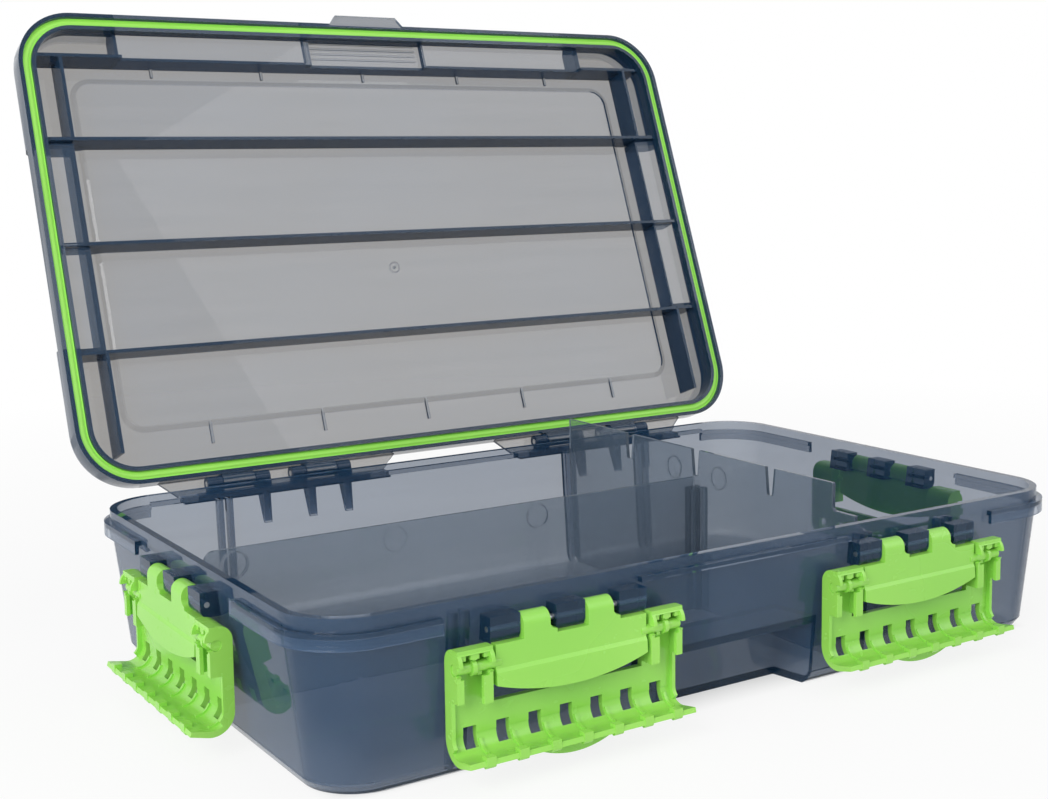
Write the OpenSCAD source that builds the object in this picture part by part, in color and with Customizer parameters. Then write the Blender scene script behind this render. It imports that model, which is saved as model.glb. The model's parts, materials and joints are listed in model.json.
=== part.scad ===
// Waterproof tackle utility box with a hinged clear lid, a seal ring, two dividers and four toggle latches.
// The origin is the middle of the tray's resting face, X to the right, Y to the back, Z up.

/* [Tray] */
// Outside width of the rim tongue
tongue_w = 350; // [330:1:380]
// Outside depth of the rim tongue
tongue_d = 216; // [206:1:240]
// Height of the tongue's top edge over the ground
tray_h = 62; // [60:0.5:70]
// Outside corner radius of the rim tongue
corner_r = 24; // [22:0.5:30]
// Thickness of the rim tongue
tongue_t = 3; // [2.6:0.1:3.4]
// Height of the tongue over the drafted wall
tongue_h = 5; // [4:0.5:7]
// Wall thickness at the foot
wall_t = 2.4; // [1.8:0.1:3]
// Floor thickness
floor_t = 2.4; // [1.8:0.1:3.4]
// How far each end wall leans in at the foot
draft_x = 7; // [5:0.5:9]
// How far the front and back walls lean in at the foot
draft_y = 5; // [4.5:0.5:7]
// Radius of the rounded foot edge
foot_r = 5; // [3:0.5:7]
// Width of the finger recess at the foot of the front wall
recess_w = 72; // [50:1:80]
// Height of the finger recess
recess_h = 25.5; // [15:0.5:32]
// Depth of the finger recess
recess_d = 18; // [6:0.5:20]
// Width of each slanted end of the recess
recess_ramp = 3; // [2:0.5:14]

/* [Rim flange] */
// Thickness of the flange
flange_t = 2; // [1.4:0.1:2.6]
// How far the thin flanges' top lies below the tongue's top edge
flange_drop = 3.6; // [3.2:0.1:4.2]
// How far the corner flanges' top lies below the tongue's top edge
corner_drop = 4.7; // [3.2:0.1:5]
// Height of the downturned lip on the corners
lip_h = 5.4; // [4:0.1:8]
// Thickness of the downturned lip
lip_t = 1.6; // [1.2:0.1:2]
// Gap between the plain front flange and the levers beside it
mid_flange_gap = 2.1; // [1.6:0.1:12]
// Width of each corner flange along the back
back_corner_w = 24; // [15:0.5:25]

/* [Lid] */
// Running gap between the tongue and the lid's skirt
skirt_gap = 0.6; // [0.4:0.1:0.8]
// Thickness of the lid's skirt and outer wall
skirt_t = 1.9; // [1.5:0.1:2.3]
// How far the skirt reaches below the tongue's top edge
skirt_drop = 1.7; // [1.2:0.1:1.9]
// Height of the lid's top face over the tongue
lid_rise = 16.5; // [15:0.5:22]
// Thickness of the lid's plate
lid_t = 2; // [1.5:0.1:2.5]
// Depth of the sunk panel in the lid's top
panel_drop = 1.2; // [0.5:0.1:1.8]
// Margin from the lid's edge to the sunk panel
panel_margin = 28; // [26:0.5:32]
// Width of the slope round the sunk panel
panel_slope = 2.6; // [1:0.1:4]
// Corner radius of the sunk panel
panel_r = 8; // [4:0.5:14]
// Height of the latch landings over the tongue
landing_rise = 6; // [5.6:0.1:6.2]
// Depth of the latch landings from the lid's edge
landing_d = 18.5; // [12:0.5:20]
// Height of the finger grip between the front landings over the landings
grip_rise = 3; // [1:0.5:5]
// Gap between the finger grip and the closed hooks beside it
grip_gap = 3; // [2:0.5:12]
// Thickness of the ribs under the lid
rib_t = 1.6; // [1.2:0.1:2]
// Spacing of the three long ribs
rib_pitch = 50; // [48:0.5:54]
// Height of the rib edges over the tongue's top edge
rib_clear = 1; // [0.6:0.1:2]
// Width of the thumb tab on the front edge
thumb_w = 41; // [30:1:50]
// How far the thumb tab stands out
thumb_out = 4.7; // [3:0.1:6]
// Number of short stiffening ticks in each margin
tick_count = 5; // [3:1:6]
// Spacing of the ticks
tick_pitch = 56; // [30:1:56]
// Angle by which the lid stands open
lid_open = 110.9; // [90:0.1:110.9]

/* [Seal] */
// Width of the seal ring
seal_w = 3.7; // [3.5:0.1:4]
// Height of the seal ring
seal_h = 3.7; // [3:0.1:4.4]
// Gap on each side of the seal in its channel
seal_gap = 0.15; // [0.1:0.05:0.2]
// Thickness of the channel's inner wall
channel_t = 1.9; // [1.4:0.1:2.2]

/* [Hinge] */
// Distance from the tray's end to the middle of each hinge
hinge_end = 89; // [83:1:95]
// Distance of the hinge axis behind the lid's edge
hinge_out = 3.4; // [3.4:0.1:4.2]
// Radius of the hinge knuckles
hinge_r = 3; // [2.6:0.1:3]
// Radius of the hinge pins
hinge_pin_r = 1.25; // [1:0.05:1.4]
// Radial clearance of a turning pin
pin_clear = 0.05; // [0.03:0.01:0.08]
// Spacing of the two pins of one hinge
hinge_pair = 40; // [36:0.5:44]
// Length of one hinge pin
hinge_pin_len = 29.2; // [26:0.2:32]
// Width of one tray knuckle
knuckle_w = 6.8; // [5:0.1:8]
// Side gap between neighbouring knuckles
knuckle_gap = 0.4; // [0.3:0.1:0.8]
// Gap between the knuckles and the lid's hinge leaf
leaf_gap = 0.4; // [0.3:0.1:0.8]
// Thickness of the hinge leaf
leaf_t = 1.8; // [1.4:0.1:2.4]
// Width of the hinge leaf at its outer edge
leaf_w = 100; // [96:1:104]
// Height of the triangular gussets under the hinge
gusset_h = 13; // [8:0.5:18]
// Thickness of the gussets
gusset_t = 3.4; // [2:0.1:4]

/* [Dividers] */
// Thickness of the dividers
divider_t = 1.6; // [1.2:0.1:2]
// Side gap between a divider and its slot
slot_gap = 0.3; // [0.2:0.05:0.5]
// Gap between a divider's end and the wall
divider_end_gap = 0.9; // [0.6:0.1:1.4]
// Thickness of the slot ribs
slot_rib_t = 2.2; // [1.4:0.1:3]
// Depth of the slot ribs
slot_rib_d = 4.4; // [3:0.1:6]
// Place of the cross divider, measured from the middle
cross_x = 62; // [40:1:80]
// Spacing of the spare divider slots from the middle, left and right
spare_slot_left = 120; // [100:1:130]
// Place of the spare slot on the right
spare_slot_right = 107; // [100:1:130]
// Gap between the cross divider and the closed lid's panel
cross_head_gap = 1.3; // [0.8:0.1:3]
// Gap between the long divider and the lid's middle rib
long_head_gap = 1.2; // [0.8:0.1:3]
// Width of a rib notch at its bottom
notch_w = 3; // [2.8:0.1:4]
// Width of a rib notch at its top
notch_top_w = 5.8; // [5.4:0.1:8]
// Gap below a lid rib in its notch
notch_gap = 0.9; // [0.6:0.1:2]
// Corner radius of the long divider
divider_r = 4; // [2:0.5:8]

/* [Latches] */
// Distance from the tray's end to the middle of each front latch
latch_end = 92.5; // [89:0.5:93.5]
// Distance of the lever pin outside the tongue
pin_out = 3.8; // [3.7:0.1:4.2]
// Depth of the lever pin below the tongue's top edge
pin_drop = 10.5; // [10:0.1:11]
// Radius of the lever pins
lever_pin_r = 1; // [0.8:0.05:1.2]
// Outside radius of the lever's knuckles
finger_r = 3.9; // [3.4:0.1:3.9]
// Width of one lug on the tray
lug_w = 11.6; // [10:0.1:11.6]
// Spacing of the lugs
lug_pitch = 25.8; // [24:0.1:25.8]
// Height of a lug
lug_h = 9; // [8:0.1:9]
// How far a lug stands outside the tongue
lug_out = 6.3; // [5.6:0.1:6.4]
// Side gap between the lugs and the lever's fingers
finger_gap = 0.5; // [0.3:0.1:1]
// Width of the lever
lever_w = 60.8; // [58:0.2:60.8]
// Thickness of the lever's plate
lever_t = 3; // [2.6:0.1:3.2]
// Distance from the lever pin down to the hook's pivot
pivot_drop = 10.5; // [10.3:0.1:10.7]
// Distance from the lever pin down to the lever's lower corners
lever_side_h = 18; // [16:0.1:19]
// Further drop of the curved lower edge at the middle
lever_bow = 4.8; // [3:0.1:5.4]
// How far the lever's lower edge flares out
lever_flare = 1.2; // [0:0.1:1.4]
// How far the crease across the lever stands out
crease_out = 0.7; // [0.2:0.1:0.9]
// Radius of the lever's side rods
rod_r = 1.9; // [1.5:0.05:1.95]
// Radius of the retaining disc on each rod
disc_r = 2.8; // [2.4:0.1:2.8]

/* [Hooks] */
// Width of the hook frame
hook_w = 91; // [89:0.5:92]
// Side gap between the lugs and the hook's arms
arm_gap = 0.4; // [0.3:0.05:0.8]
// Thickness of the hook's plate
hook_t = 2.4; // [1.8:0.1:2.4]
// Distance of the plate's back outside the tongue
hook_back = 0.3; // [0.2:0.05:0.5]
// Thickness of the arms' walls
arm_t = 1.4; // [1:0.1:1.6]
// Height of the arms over the pivot
arm_up = 6.6; // [5.5:0.1:6.6]
// Reach of the arms' outer walls below the pivot
arm_down = 11; // [9:0.1:14]
// How far the arms stand out from the plate's back
arm_depth = 8.3; // [8.1:0.1:8.4]
// Radius of the rounded upper back edge of the arms
arm_round = 5; // [4.8:0.1:5.5]
// Distance from the pivot down to the plate's upper edge in the window
window_drop = 14.4; // [14.4:0.1:16]
// Distance from the pivot down to the start of the curl
curl_drop = 23.8; // [23.6:0.1:24.2]
// Outside radius of the curl
curl_r = 8; // [7.9:0.05:8.1]
// Sweep of the curl from the plate to its lip
curl_sweep = 104; // [102:1:105]
// Reach of the lip from the plate's back to its tip
lip_reach = 16.2; // [15:0.1:16.6]
// Thickness of the lip at its tip
lip_tip_t = 1.8; // [1.4:0.1:2.2]
// Width of one tooth on the lip
tooth_w = 3.6; // [2.4:0.1:5]
// Height of the teeth over the lip
tooth_h = 1; // [0.6:0.1:1.2]
// Thickness of the plate's rim at both ends
rim_t = 4.2; // [3:0.1:4.6]
// Number of slots in the curl
slot_count = 7; // [3:1:7]
// Spacing of the slots
slot_pitch = 12.6; // [11:0.1:12.8]
// Width of one slot
slot_w = 5; // [3:0.1:6]
// Height of the slots on the plate above the curl
slot_rise = 2.6; // [1:0.1:5]
// Sweep of the slots down the curl
slot_sweep = 48; // [30:1:60]
// Width of the finger tab under the curl
tab_w = 36; // [24:1:44]
// Height of the finger tab
tab_h = 4.8; // [3:0.1:5.5]
// Thickness of the finger tab
tab_t = 1.8; // [1.2:0.1:2.4]

/* [Hidden] */

eps = 0.01;
far = 500;
$fn = 64;
smoke = [0.27, 0.32, 0.42, 0.55];
smoke_panel = [0.38, 0.45, 0.55, 0.5];
lime = [0.58, 0.90, 0.36];
seal_green = [0.38, 0.74, 0.18];
steel = [0.72, 0.73, 0.75];

// Tray
half_w = tongue_w / 2;
half_d = tongue_d / 2;
wall_top = tray_h - tongue_h;
foot_flat = 0.24;
foot_mid = 0.3;
edge_out = skirt_gap + skirt_t;
latch_x = half_w - latch_end;
hinge_x = half_w - hinge_end;
back_corner_x = half_w - back_corner_w;
mid_flange_w = 2 * (latch_x - lever_w / 2 - mid_flange_gap);
grip_w = 2 * (latch_x - hook_w / 2 - grip_gap);
lid_w = tongue_w + 2 * edge_out;
lid_d = tongue_d + 2 * edge_out;
flange_top = tray_h - flange_drop;
corner_start = latch_x + hook_w / 2 + 1;
side_start = hook_w / 2 + 3.5;
corner_top = tray_h - corner_drop;

// Lid, in its closed place
skirt_z = tray_h - skirt_drop;
lid_top = tray_h + lid_rise;
ceiling = lid_top - lid_t;
panel_z = ceiling - panel_drop;
landing_z = tray_h + landing_rise;
channel_top = landing_z - lid_t;
rib_z = tray_h + rib_clear;
landing_w = hook_w + 2.4;
landing_reach = latch_x + landing_w / 2;
step_in = landing_d + lid_t;
panel_back = lid_d / 2 - panel_margin;
tick_t = 1.2;
tick_front = 5;
tick_back = 11;
thumb_bevel = 3.5;
thumb_t = 2.6;
thumb_low = 1.6;
line_count = 4;
line_pitch = 2.8;
line_w = 1;
line_h = 0.6;
line_in = 6;
line_end = 4;
top_round = [[0, 8.4], [0.9, 4.6], [2.8, 1.8], [6, 0]];

// Seal
bead_h = 0.9;
bead_in = 0.5;

// Hinge
axis_y = lid_d / 2 + hinge_out;
bar_top = tray_h - hinge_r - 0.8;
bar_t = 2.7;
bar_out = axis_y + 1.4;
post_back = 1.6;
leaf_z = tray_h + hinge_r + leaf_gap;
leaf_flare = 9;
gusset_at = [-12, 10, 28];

// Dividers
divider_foot = floor_t;
divider_lean = 3.1;
cross_top = panel_z - cross_head_gap;
cross_low = tray_h + 0.8;
long_top = rib_z - long_head_gap;
cross_back = lid_d / 2 - channel_depth() - 1.8;
notch_z = rib_z - notch_gap;
post_w = 8;
post_d = 3.2;
post_top = wall_top;

// Latches, out and down from the tongue's top edge
pin_z = tray_h - pin_drop;
pivot_out = pin_out + finger_r - lever_t / 2;
pivot_z = pin_z - pivot_drop;
lug_z = pin_z - lug_h / 2;
lug_round = 3;
shoulder_z = lug_z + 0.2;
ridge_z = pivot_z - 3.3;
crease_h = 1.3;
lever_side_z = pin_z - lever_side_h;
plate_in = pin_out + finger_r - lever_t;
plate_out = pin_out + finger_r;
arm_in = lug_pitch + lug_w / 2 + arm_gap;
arm_front = hook_back + arm_depth;
disc_t = 1.6;
disc_at = (arm_in + hook_w / 2) / 2;
key_w = 1.6;
key_in = 2.6;
arm_cap_t = 1.6;
arm_band_h = 3.4;
arm_step = 1.5;
arm_bar_z = pivot_z - 3;
arm_bar_outer = 2.6;
arm_bar_inner = 3.6;
arm_window_w = 1.8;
snap_h = 1.6 * rod_r;
rod_end_gap = 0.4;
curl_z = pivot_z - curl_drop;
curl_out = hook_back + curl_r;
curl_in = curl_r - hook_t + 0.2;
lip_root = 0.7;
tooth_d = 3;
bead_r = 1.2;
ridge_gap = 0.4;
ridge_w = 1.2;
ridge_h = 0.7;
ridge_from = 20;
ridge_end = 12;

// Depth of the seal channel with both of its walls, from the lid's edge
function channel_depth() = skirt_t + seal_w + 2 * seal_gap + channel_t;

// Plan of a rectangle with round corners, w by d
module round_rect(w, d, r) {
    square([w - 2 * r, d], center = true);
    square([w, d - 2 * r], center = true);
    for (sx = [-1, 1], sy = [-1, 1])
        translate([sx * (w / 2 - r), sy * (d / 2 - r)]) circle(r);
}

// Plan of the lid's outline, moved in by a distance
module lid_plan(inset) round_rect(lid_w - 2 * inset, lid_d - 2 * inset, corner_r + edge_out - inset);

// Plan of the tongue's outline, moved in by a distance
module tongue_plan(inset) round_rect(tongue_w - 2 * inset, tongue_d - 2 * inset, corner_r - inset);

// Closed band between two insets of the lid's outline
module lid_band(outer, inner, z0, z1) {
    translate([0, 0, z0]) linear_extrude(z1 - z0) difference() {
        lid_plan(outer);
        lid_plan(inner);
    }
}

module box(x0, x1, y0, y1, z0, z1) translate([x0, y0, z0]) cube([x1 - x0, y1 - y0, z1 - z0]);

// A profile drawn as (y, z), swept along X
module sweep_x(x0, x1) translate([x0, 0, 0]) rotate([90, 0, 90]) linear_extrude(x1 - x0) children();

// A profile drawn as (x, z), swept along Y
module sweep_y(y0, y1) translate([0, y1, 0]) rotate([90, 0, 0]) linear_extrude(y1 - y0) children();

// A profile drawn as (out, z) on a latch, swept along the wall
module latch_span(u0, u1) translate([u0, 0, 0]) rotate([90, 0, 90]) mirror([1, 0, 0])
    linear_extrude(u1 - u0) children();

// A round rod along a latch at (out, z)
module latch_rod(u0, u1, out, z, r)
    translate([u0, -out, z]) rotate([0, 90, 0]) cylinder(h = u1 - u0, r = r);

// A round rod along X at (y, z)
module rod_x(x0, x1, y, z, r)
    translate([x0, y, z]) rotate([0, 90, 0]) cylinder(h = x1 - x0, r = r);

// The four latch places, each with its wall plane at y = 0 and the outside toward -Y
module at_front_left() translate([-latch_x, -half_d, 0]) children();
module at_front_right() translate([latch_x, -half_d, 0]) children();
module at_left_side() translate([-half_w, 0, 0]) rotate([0, 0, -90]) children();
module at_right_side() translate([half_w, 0, 0]) rotate([0, 0, 90]) children();
module at_latches() {
    at_front_left() children();
    at_front_right() children();
    at_left_side() children();
    at_right_side() children();
}

// Thin slab of a drafted tray outline at height z
module tray_slab(z, inset_x, inset_y, r) {
    translate([0, 0, z]) linear_extrude(eps)
        round_rect(tongue_w - 2 * inset_x, tongue_d - 2 * inset_y, r);
}

// Drafted solid from z0 to z1, thick inside the outer faces by t at the foot and top_t at the top
module tray_solid(z0, z1, t, top_t, edge) {
    in_x = draft_x + t;
    in_y = draft_y + t;
    lean = edge / wall_top;
    hull() {
        tray_slab(z0, in_x + edge * (1 - foot_flat), in_y + edge * (1 - foot_flat), corner_r - draft_y - t);
        tray_slab(z0 + edge * (1 - cos(45)), in_x + edge * foot_mid, in_y + edge * foot_mid,
                  corner_r - draft_y - t);
        tray_slab(z0 + edge, in_x - draft_x * lean, in_y - draft_y * lean, corner_r - draft_y - t);
        tray_slab(z1 - eps, top_t, top_t, corner_r - top_t);
    }
}

// Plan of the finger recess, grown by a wall
module recess_plan(grow) {
    front = -half_d - edge_out;
    back = -half_d + draft_y + recess_d + grow;
    foot = recess_w / 2 + grow;
    polygon([[-foot, front], [foot, front], [foot, -half_d + draft_y],
             [foot - recess_ramp, back], [recess_ramp - foot, back], [-foot, -half_d + draft_y]]);
}

module recess(grow) translate([0, 0, -eps]) linear_extrude(recess_h + grow) recess_plan(grow);

// Space around the four corners, where the flange has its lip
module corner_space() {
    for (flip = [0, 1]) mirror([flip, 0, 0]) {
        box(corner_start, far, -far, -side_start, 0, far);
        box(back_corner_x, far, side_start, far, 0, far);
    }
}

// Flange round the rim: thin in the middle of the front and along the back, with a lip on the corners
module flange() {
    root = edge_out + tongue_t / 2;
    intersection() {
        lid_band(0, root, flange_top - flange_t, flange_top);
        union() {
            box(-mid_flange_w / 2, mid_flange_w / 2, -far, 0, 0, far);
            box(-back_corner_x, back_corner_x, 0, far, 0, far);
        }
    }
    intersection() {
        union() {
            lid_band(0, root, corner_top - flange_t, corner_top);
            lid_band(0, lip_t, corner_top - lip_h, corner_top);
        }
        corner_space();
    }
}

// Three lugs of one latch, with the bore for its pin
module latch_lugs() {
    for (i = [-1, 0, 1]) {
        difference() {
            latch_span(i * lug_pitch - lug_w / 2, i * lug_pitch + lug_w / 2) {
                translate([-tongue_t / 2, lug_z + lug_round])
                    square([lug_out + tongue_t / 2, lug_h - lug_round]);
                translate([-tongue_t / 2, lug_z]) square([lug_out + tongue_t / 2 - lug_round, lug_h]);
                translate([lug_out - lug_round, lug_z + lug_round]) circle(lug_round);
            }
            latch_rod(i * lug_pitch - lug_w, i * lug_pitch + lug_w, pin_out, pin_z,
                      lever_pin_r + pin_clear);
        }
    }
}

// Two ribs that hold a divider against the back wall, or the front wall when mirrored
module wall_slot(x) {
    for (side = [-1, 1]) {
        x0 = x + side * (divider_t / 2 + slot_gap + slot_rib_t / 2) - slot_rib_t / 2;
        sweep_x(x0, x0 + slot_rib_t)
            polygon([[half_d - draft_y - wall_t - slot_rib_d + divider_end_gap, floor_t / 2],
                     [half_d - draft_y - wall_t / 2, floor_t / 2],
                     [half_d - tongue_t / 2, wall_top],
                     [half_d - tongue_t - slot_rib_d, wall_top]]);
    }
}

// Two ribs that hold the long divider against the left wall
module end_slot() {
    for (side = [-1, 1]) {
        y0 = side * (divider_t / 2 + slot_gap + slot_rib_t / 2) - slot_rib_t / 2;
        sweep_y(y0, y0 + slot_rib_t)
            polygon([[-half_w + draft_x + wall_t + slot_rib_d - divider_end_gap, floor_t / 2],
                     [-half_w + draft_x + wall_t / 2, floor_t / 2],
                     [-half_w + tongue_t / 2, wall_top],
                     [-half_w + tongue_t + slot_rib_d, wall_top]]);
    }
}

// Places of the two pins of a hinge, from the hinge's middle
function pin_at(i) = (i - 0.5) * hinge_pair - 3;

// The tray's half of one hinge: bar, gussets, posts and bored knuckles
module tray_hinge(x) {
    box(x - leaf_w / 2, x + leaf_w / 2, half_d - tongue_t / 2, bar_out, bar_top - bar_t, bar_top);
    for (g = gusset_at)
        sweep_x(x + g - gusset_t / 2, x + g + gusset_t / 2)
            polygon([[half_d - tongue_t / 2, bar_top - bar_t / 2], [bar_out - 1, bar_top - bar_t / 2],
                     [bar_out - 1, bar_top - bar_t - 1], [half_d + 0.6, bar_top - bar_t - gusset_h],
                     [half_d - tongue_t / 2, bar_top - bar_t - gusset_h]]);
    difference() {
        for (i = [0, 1], end = [-1, 1]) {
            x0 = x + pin_at(i) + end * (hinge_pin_len - knuckle_w) / 2 - knuckle_w / 2;
            rod_x(x0, x0 + knuckle_w, axis_y, tray_h, hinge_r);
            box(x0, x0 + knuckle_w, axis_y - hinge_r, axis_y + post_back, bar_top - bar_t / 2, tray_h);
        }
        rod_x(x - leaf_w, x + leaf_w, axis_y, tray_h, hinge_pin_r + pin_clear);
    }
}

// The tray: drafted shell, rim tongue, flanges, recess, lugs, hinges and divider slots
module base() {
    color(smoke) {
        difference() {
            union() {
                tray_solid(0, wall_top, 0, 0, foot_r);
                translate([0, 0, wall_top - 1]) linear_extrude(tongue_h + 1) tongue_plan(0);
                flange();
                at_latches() latch_lugs();
                for (side = [-1, 1]) tray_hinge(side * hinge_x);
            }
            difference() {
                tray_solid(floor_t, wall_top, wall_t, tongue_t, foot_r - wall_t);
                recess(wall_t);
                for (x = [-spare_slot_left, cross_x, spare_slot_right]) {
                    wall_slot(x);
                    mirror([0, 1, 0]) wall_slot(x);
                }
                end_slot();
            }
            translate([0, 0, wall_top - 2 * eps]) linear_extrude(tongue_h + 1) tongue_plan(tongue_t);
            recess(0);
        }
    }
}

// Outside of the closed lid, with its rounded top edge
module lid_block() {
    hull() {
        translate([0, 0, skirt_z]) linear_extrude(eps) lid_plan(0);
        for (step = top_round)
            translate([0, 0, lid_top - step[1] - eps]) linear_extrude(eps) lid_plan(step[0]);
    }
}

// Space above the latch landings, grown into the lid by a wall
module landing_space(grow) {
    reach = landing_reach + grow;
    front = -lid_d / 2;
    difference() {
        box(-reach, reach, front - 1, front + landing_d + grow, landing_z - grow, far);
        box(-grip_w / 2 + grow, grip_w / 2 - grow, front - 2, front + landing_d + grow + 1,
            landing_z - grow - 1, landing_z + grip_rise - grow);
    }
    for (side = [-1, 1])
        translate([side * lid_w / 2, 0, 0])
            box(-(landing_d + grow), landing_d + grow, -landing_w / 2 - grow, landing_w / 2 + grow,
                landing_z - grow, far);
}

// Space under the lid's plate and over the seal channel, with its rounded upper edge
module lid_room() {
    hull() {
        translate([0, 0, landing_z]) linear_extrude(eps) lid_plan(skirt_t);
        for (step = top_round)
            translate([0, 0, ceiling - min(step[1], ceiling - landing_z) - eps])
                linear_extrude(eps) lid_plan(skirt_t + step[0]);
    }
}

// Hollow under the lid, inside the seal channel and over it
module lid_hollow() {
    difference() {
        union() {
            translate([0, 0, skirt_z - 1]) linear_extrude(ceiling - skirt_z + 1) lid_plan(channel_depth());
            lid_room();
            translate([0, 0, skirt_z - 1]) linear_extrude(tray_h - skirt_z - 0.2)
                lid_plan(channel_depth() - channel_t);
        }
        landing_space(lid_t);
        panel_sink(panel_z);
    }
}

// Outline of the sunk panel, grown by a distance
module panel_plan(grow)
    round_rect(lid_w - 2 * (panel_margin - grow), lid_d - 2 * (panel_margin - grow), panel_r + grow);

// Sunk panel with its slope, from a height up to where the slope ends
module panel_sink(z) {
    hull() {
        translate([0, 0, z]) linear_extrude(eps) panel_plan(0);
        translate([0, 0, z + panel_drop]) linear_extrude(eps) panel_plan(panel_slope);
    }
}

// Ribs under the lid, in its closed place
module lid_ribs() {
    rib_x = lid_w / 2 - channel_depth() + channel_t / 2;
    side_x = lid_w / 2 - step_in + rib_t / 2;
    back_y = lid_d / 2 - channel_depth() + channel_t / 2;
    front_y = -lid_d / 2 + step_in - rib_t / 2;
    root_z = ceiling + lid_t / 4;
    half_t = rib_t / 2;
    corner_end = rib_x - 2;
    for (i = [-1, 0, 1])
        box(-rib_x, rib_x, i * rib_pitch - half_t, i * rib_pitch + half_t, rib_z, root_z);
    for (side = [-1, 1]) {
        x = side * side_x;
        box(x - half_t, x + half_t, rib_pitch, back_y - corner_r / 3, rib_z, root_z);
        box(x - half_t, x + half_t, front_y, -rib_pitch, rib_z, root_z);
        box(side > 0 ? landing_reach : -corner_end, side > 0 ? corner_end : -landing_reach,
            front_y - half_t, front_y + half_t, rib_z, root_z);
    }
    for (i = [0 : tick_count - 1]) {
        tick_x = (i - (tick_count - 1) / 2) * tick_pitch - tick_t / 2;
        box(tick_x, tick_x + tick_t, front_y, front_y + tick_front, ceiling - tick_t, root_z);
        box(tick_x, tick_x + tick_t, panel_back, panel_back + tick_back, ceiling - tick_t, root_z);
    }
}

// The lid's half of one hinge, in the closed place
module lid_hinge(x) {
    root_y = lid_d / 2 - skirt_t / 2;
    end_y = axis_y + hinge_r + 0.5;
    mid_z = leaf_z + leaf_t / 2;
    translate([x, 0, leaf_z]) linear_extrude(leaf_t)
        polygon([[-leaf_w / 2 - leaf_flare, root_y], [leaf_w / 2 + leaf_flare, root_y],
                 [leaf_w / 2, end_y], [-leaf_w / 2, end_y]]);
    for (i = [0, 1]) {
        half = hinge_pin_len / 2 - knuckle_w - knuckle_gap;
        x0 = x + pin_at(i) - half;
        x1 = x + pin_at(i) + half;
        difference() {
            union() {
                rod_x(x0, x1, axis_y, tray_h, hinge_r);
                box(x0, x1, axis_y - hinge_r, axis_y + hinge_r / 2, tray_h, mid_z);
                box(x0, x1, root_y, axis_y, tray_h - hinge_r / 2, mid_z);
            }
            rod_x(x0 - 1, x1 + 1, axis_y, tray_h, hinge_pin_r + pin_clear);
        }
    }
}

// Thumb tab and grip lines on the lid's front
module lid_front_details() {
    half = thumb_w / 2;
    edge_y = -lid_d / 2;
    line_x = grip_w / 2 - line_end;
    grip_z = landing_z + grip_rise;
    translate([0, 0, tray_h - thumb_low]) linear_extrude(thumb_t)
        polygon([[-half, edge_y + skirt_t / 2], [half, edge_y + skirt_t / 2], [half, edge_y],
                 [half - thumb_bevel, edge_y - thumb_out], [thumb_bevel - half, edge_y - thumb_out],
                 [-half, edge_y]]);
    for (i = [0 : line_count - 1]) {
        line_y = edge_y + line_in + i * line_pitch;
        box(-line_x, line_x, line_y, line_y + line_w, grip_z - 1, grip_z + line_h);
    }
}

module closed_lid() {
    difference() {
        lid_block();
        landing_space(0);
        panel_sink(lid_top - panel_drop);
        lid_hollow();
        lid_band(skirt_t, channel_depth() - channel_t, skirt_z - 1, channel_top);
    }
    lid_ribs();
    lid_front_details();
    for (side = [-1, 1]) lid_hinge(side * hinge_x);
}

// Places what is drawn for the closed lid where the lid stands open
module opened() {
    translate([0, axis_y, tray_h]) rotate([-lid_open, 0, 0]) translate([0, -axis_y, -tray_h]) children();
}

module lid() color(smoke) opened() closed_lid();

// Seal ring in the lid's channel, with a narrower bead toward the tongue
module lid_gasket() {
    outer = skirt_t + seal_gap;
    inner = outer + seal_w;
    low_z = channel_top - seal_h;
    color(seal_green) opened() {
        lid_band(outer, inner, low_z + bead_h, channel_top);
        lid_band(outer + bead_in, inner - bead_in, low_z, low_z + bead_h);
    }
}

// One steel pin of a hinge
module hinge_pin(side, i) {
    x = side * hinge_x + pin_at(i);
    color(steel) rod_x(x - hinge_pin_len / 2, x + hinge_pin_len / 2, axis_y, tray_h, hinge_pin_r);
}

// Long divider, from the left wall to the post on the cross divider
module long_divider() {
    foot_x = -half_w + draft_x + wall_t + divider_end_gap;
    top_x = foot_x - divider_lean;
    end_x = cross_x - divider_t / 2 - divider_end_gap;
    color(smoke_panel) sweep_y(-divider_t / 2, divider_t / 2) {
        polygon([[foot_x + divider_r, divider_foot], [end_x, divider_foot], [end_x, long_top],
                 [top_x + divider_r, long_top], [top_x, long_top - divider_r],
                 [foot_x, divider_foot + divider_r]]);
        translate([top_x + divider_r, long_top - divider_r]) circle(divider_r);
    }
}

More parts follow.
